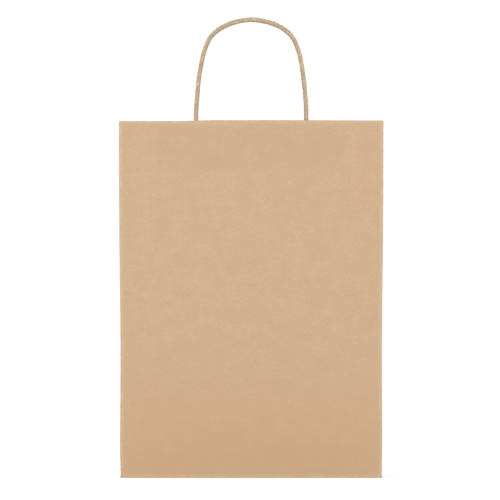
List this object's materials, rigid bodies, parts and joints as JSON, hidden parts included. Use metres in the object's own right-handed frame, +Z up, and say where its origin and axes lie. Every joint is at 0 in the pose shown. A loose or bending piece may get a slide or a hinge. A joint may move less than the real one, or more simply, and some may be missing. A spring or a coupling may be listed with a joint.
{
  "type": "paper gift bag",
  "caption": "Open-topped kraft paper gift bag with folding side gussets, a block bottom and twisted paper cord handles.",
  "frame": {"origin": "centre of the base, on the surface that the bag stands on", "axes": "+X across the front panel to the viewer's right, +Y from the front panel to the back panel, +Z up"},
  "size_m": [0.22, 0.11, 0.3871],
  "materials": {
    "kraft_paper": "plain brown kraft paper, uncoated",
    "patch_paper": "plain brown kraft paper, a little darker",
    "twisted_paper": "kraft paper twisted into a cord of two strands"
  },
  "bodies": {
    "front_panel": {"front_panel": "kraft_paper", "front_patch_backing": "patch_paper", "front_patch_cover": "patch_paper", "front_cord_end_1": "twisted_paper", "front_cord_end_2": "twisted_paper"},
    "left_gusset_front": {"left_gusset_front": "kraft_paper"},
    "left_gusset_rear": {"left_gusset_rear": "kraft_paper"},
    "right_gusset_front": {"right_gusset_front": "kraft_paper"},
    "right_gusset_rear": {"right_gusset_rear": "kraft_paper"},
    "back_panel": {"back_panel": "kraft_paper", "seam_flap": "kraft_paper", "back_patch_backing": "patch_paper", "back_patch_cover": "patch_paper", "back_cord_end_1": "twisted_paper", "back_cord_end_2": "twisted_paper"},
    "back_fold_up_panel": {"back_fold_up_panel": "kraft_paper", "seam_flap_lower": "kraft_paper"},
    "base": {"bottom_front_flap": "kraft_paper", "bottom_front_left_web": "kraft_paper", "bottom_front_right_web": "kraft_paper", "bottom_back_flap": "kraft_paper", "bottom_back_left_web": "kraft_paper", "bottom_back_right_web": "kraft_paper", "bottom_left_flap": "kraft_paper", "bottom_right_flap": "kraft_paper"},
    "left_foot_triangle": {"left_foot_triangle": "kraft_paper"},
    "right_foot_triangle": {"right_foot_triangle": "kraft_paper"},
    "left_rear_corner": {"left_rear_corner": "kraft_paper"},
    "right_rear_corner": {"right_rear_corner": "kraft_paper"},
    "front_handle": {"front_handle": "twisted_paper"},
    "back_handle": {"back_handle": "twisted_paper"}
  },
  "joints": [
    {"name": "flatten", "type": "hinge", "parent": "front_panel", "child": "left_gusset_front", "pos_m": [-0.1098, -0.05473, 0.15], "axis": [0, 0, -1], "range_deg": [0, 79]},
    {"name": "left_middle_crease", "type": "hinge", "parent": "left_gusset_front", "child": "left_gusset_rear", "pos_m": [-0.10435, 0, 0.15], "axis": [0, 0, 1], "range_deg": [0, 158]},
    {"name": "back_left_crease", "type": "hinge", "parent": "left_gusset_rear", "child": "back_panel", "pos_m": [-0.1098, 0.05473, 0.15], "axis": [0, 0, -1], "range_deg": [0, 79]},
    {"name": "front_right_crease", "type": "hinge", "parent": "front_panel", "child": "right_gusset_front", "pos_m": [0.1098, -0.05473, 0.15], "axis": [0, 0, 1], "range_deg": [0, 79]},
    {"name": "right_middle_crease", "type": "hinge", "parent": "right_gusset_front", "child": "right_gusset_rear", "pos_m": [0.10435, 0, 0.15], "axis": [0, 0, -1], "range_deg": [0, 158]},
    {"name": "fold_up_crease", "type": "hinge", "parent": "back_panel", "child": "back_fold_up_panel", "pos_m": [0, 0.05513, 0.056], "axis": [1, 0, 0], "range_deg": [0, 169.29]},
    {"name": "base_back_crease", "type": "hinge", "parent": "back_fold_up_panel", "child": "base", "pos_m": [0, 0.05443, 0.0016], "axis": [-1, 0, 0], "range_deg": [0, 84.64]},
    {"name": "left_foot_crease", "type": "hinge", "parent": "base", "child": "left_foot_triangle", "pos_m": [-0.1098, 0, 0.0013], "axis": [0, 1, 0], "range_deg": [0, 82.16], "deforming": ["left_foot_triangle"]},
    {"name": "right_foot_crease", "type": "hinge", "parent": "base", "child": "right_foot_triangle", "pos_m": [0.1098, 0, 0.0013], "axis": [0, -1, 0], "range_deg": [0, 82.16], "deforming": ["right_foot_triangle"]},
    {"name": "left_corner_crease", "type": "hinge", "parent": "back_fold_up_panel", "child": "left_rear_corner", "pos_m": [-0.1098, 0.05473, 0.03], "axis": [0, 0, 1], "range_deg": [0, 82.16], "deforming": ["left_rear_corner"]},
    {"name": "right_corner_crease", "type": "hinge", "parent": "back_fold_up_panel", "child": "right_rear_corner", "pos_m": [0.1098, 0.05473, 0.03], "axis": [0, 0, -1], "range_deg": [0, 82.16], "deforming": ["right_rear_corner"]},
    {"name": "front_handle_swing", "type": "hinge", "parent": "front_panel", "child": "front_handle", "pos_m": [0, -0.05268, 0.302], "axis": [1, 0, 0], "range_deg": [0, 80]},
    {"name": "back_handle_swing", "type": "hinge", "parent": "back_panel", "child": "back_handle", "pos_m": [0, 0.05268, 0.302], "axis": [-1, 0, 0], "range_deg": [0, 80]}
  ],
  "couplings": [
    {"joint": "left_middle_crease", "follows": "flatten", "ratio": 2},
    {"joint": "back_left_crease", "follows": "flatten", "ratio": 1},
    {"joint": "front_right_crease", "follows": "flatten", "ratio": 1},
    {"joint": "right_middle_crease", "follows": "flatten", "ratio": 2},
    {"joint": "fold_up_crease", "follows": "flatten", "ratio": 2.1429},
    {"joint": "base_back_crease", "follows": "flatten", "ratio": 1.0714},
    {"joint": "left_foot_crease", "follows": "flatten", "ratio": 1.04},
    {"joint": "right_foot_crease", "follows": "flatten", "ratio": 1.04},
    {"joint": "left_corner_crease", "follows": "flatten", "ratio": 1.04},
    {"joint": "right_corner_crease", "follows": "flatten", "ratio": 1.04}
  ]
}
